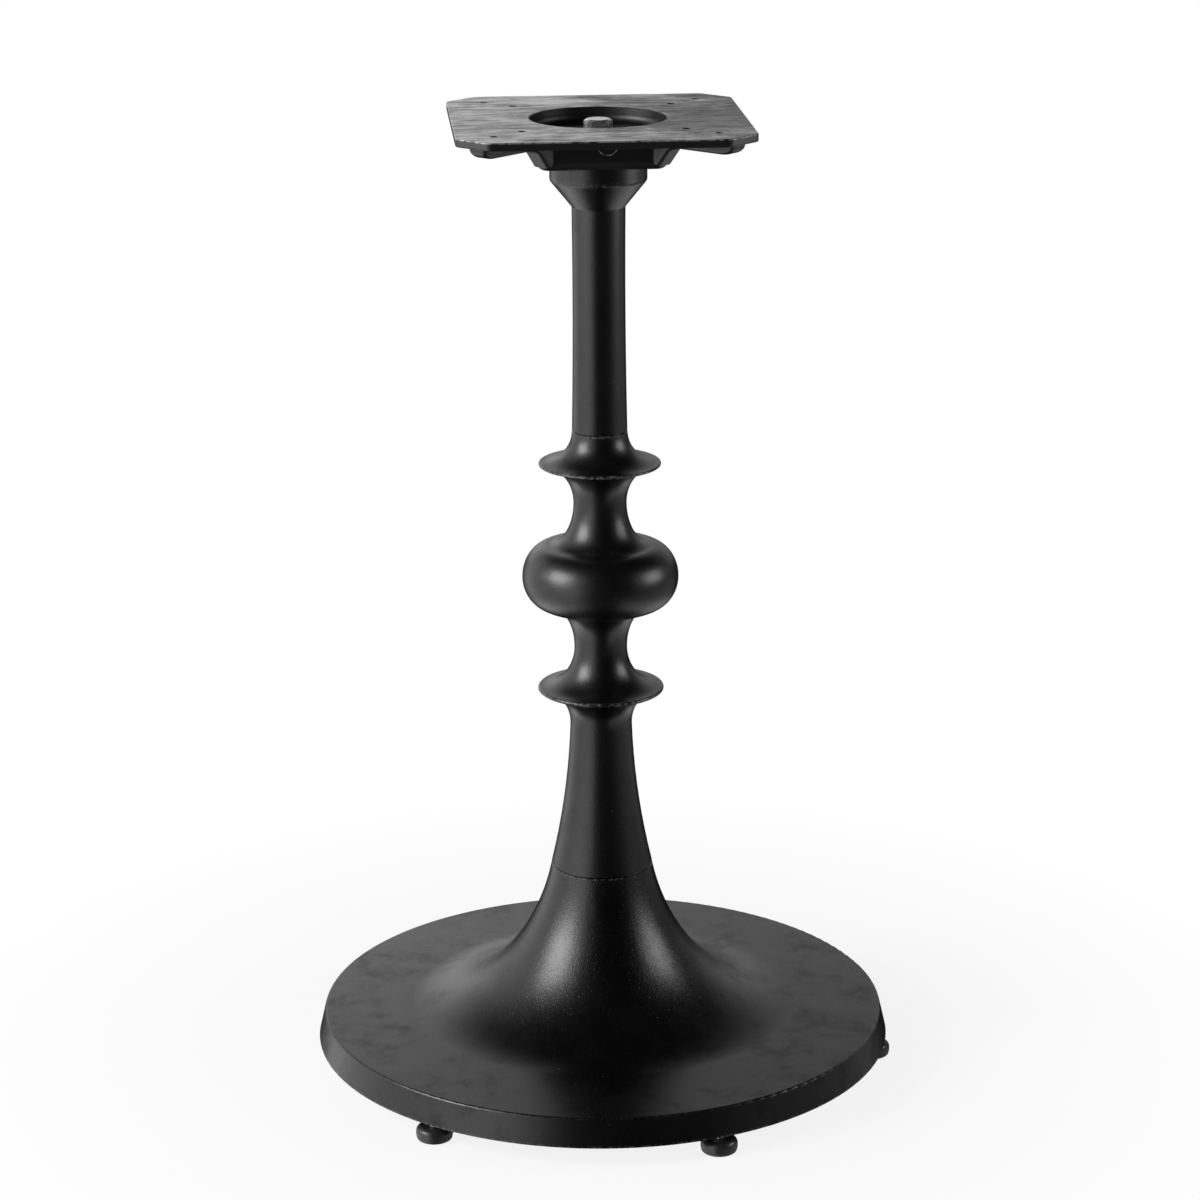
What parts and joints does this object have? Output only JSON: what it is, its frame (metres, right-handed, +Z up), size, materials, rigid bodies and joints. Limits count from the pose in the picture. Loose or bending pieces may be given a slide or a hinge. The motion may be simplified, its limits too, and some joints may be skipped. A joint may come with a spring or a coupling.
{
  "type": "pedestal table base",
  "caption": "Black cast pedestal table base with a dished round foot on screw-in glides, a turned baluster column and a square ribbed plate that a table top screws to.",
  "frame": {"origin": "on the floor under the column's axis", "axes": "+Z up along the column, X and Y along the top plate's sides"},
  "size_m": [0.4349, 0.435, 0.7165],
  "materials": {
    "black_casting": "satin black paint over a cast surface",
    "zinc_steel": "zinc plated",
    "glide_cap": "satin black over stamped steel",
    "glide_sole": "black nylon"
  },
  "bodies": {
    "pedestal": {"base": "black_casting", "baluster": "black_casting", "upper_column": "black_casting", "top_plate": "black_casting", "tie_bolt": "zinc_steel", "top_washer": "zinc_steel", "bottom_washer": "zinc_steel", "tie_nut": "zinc_steel"},
    "glide_1": {"glide_stud_1": "zinc_steel", "glide_cap_1": "glide_cap", "glide_sole_1": "glide_sole"},
    "glide_2": {"glide_stud_2": "zinc_steel", "glide_cap_2": "glide_cap", "glide_sole_2": "glide_sole"},
    "glide_3": {"glide_stud_3": "zinc_steel", "glide_cap_3": "glide_cap", "glide_sole_3": "glide_sole"},
    "glide_4": {"glide_stud_4": "zinc_steel", "glide_cap_4": "glide_cap", "glide_sole_4": "glide_sole"},
    "glide_5": {"glide_stud_5": "zinc_steel", "glide_cap_5": "glide_cap", "glide_sole_5": "glide_sole"},
    "glide_6": {"glide_stud_6": "zinc_steel", "glide_cap_6": "glide_cap", "glide_sole_6": "glide_sole"}
  },
  "joints": [
    {"name": "glide_1_height", "type": "slide", "parent": "pedestal", "child": "glide_1", "axis": [0, 0, -1], "range_m": [-0.004, 0.008]},
    {"name": "glide_2_height", "type": "slide", "parent": "pedestal", "child": "glide_2", "axis": [0, 0, -1], "range_m": [-0.004, 0.008]},
    {"name": "glide_3_height", "type": "slide", "parent": "pedestal", "child": "glide_3", "axis": [0, 0, -1], "range_m": [-0.004, 0.008]},
    {"name": "glide_4_height", "type": "slide", "parent": "pedestal", "child": "glide_4", "axis": [0, 0, -1], "range_m": [-0.004, 0.008]},
    {"name": "glide_5_height", "type": "slide", "parent": "pedestal", "child": "glide_5", "axis": [0, 0, -1], "range_m": [-0.004, 0.008]},
    {"name": "glide_6_height", "type": "slide", "parent": "pedestal", "child": "glide_6", "axis": [0, 0, -1], "range_m": [-0.004, 0.008]}
  ]
}
